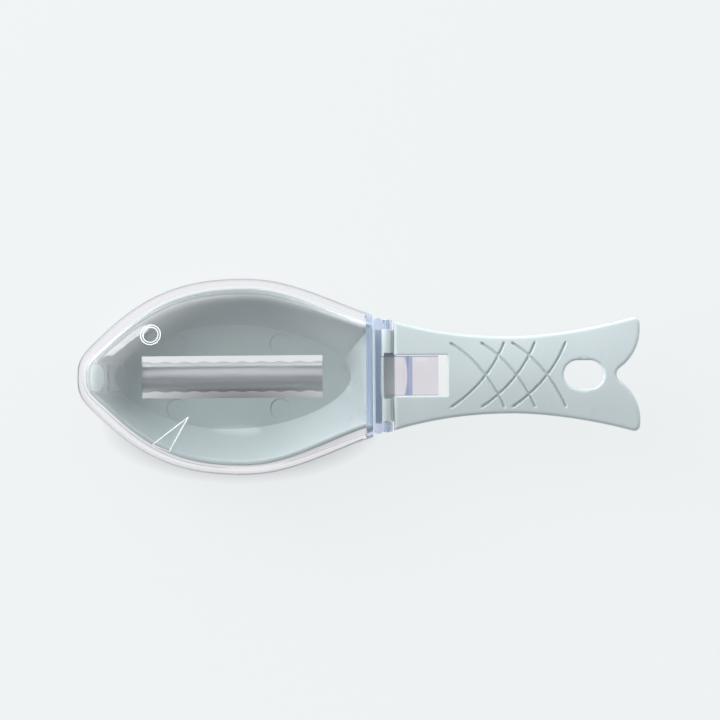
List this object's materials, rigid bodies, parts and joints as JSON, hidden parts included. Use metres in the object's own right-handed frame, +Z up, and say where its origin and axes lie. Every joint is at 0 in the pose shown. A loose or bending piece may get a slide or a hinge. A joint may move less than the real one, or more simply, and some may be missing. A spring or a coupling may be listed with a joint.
{
  "type": "fish scaler",
  "caption": "Hand fish scaler shaped like a fish: a bowl with a toothed steel blade in its floor slot, a hinged clear lid with a thumb lever, and a handle with a hang hole.",
  "frame": {"origin": "middle of the overall box at its lowest point, level with the tips of the blade's teeth", "axes": "+X from the nose towards the tail, +Y across the head, +Z up through the lid"},
  "size_m": [0.215, 0.0752, 0.035],
  "materials": {
    "moulding": "satin",
    "clear": "polished",
    "steel": "polished"
  },
  "bodies": {
    "base": {"body": "moulding", "blade": "steel"},
    "cover": {"lid": "clear"}
  },
  "joints": [
    {"name": "lid_hinge", "type": "hinge", "parent": "base", "child": "cover", "pos_m": [0.0109, 0, 0.02], "axis": [0, 1, 0], "range_deg": [0, 72]}
  ]
}
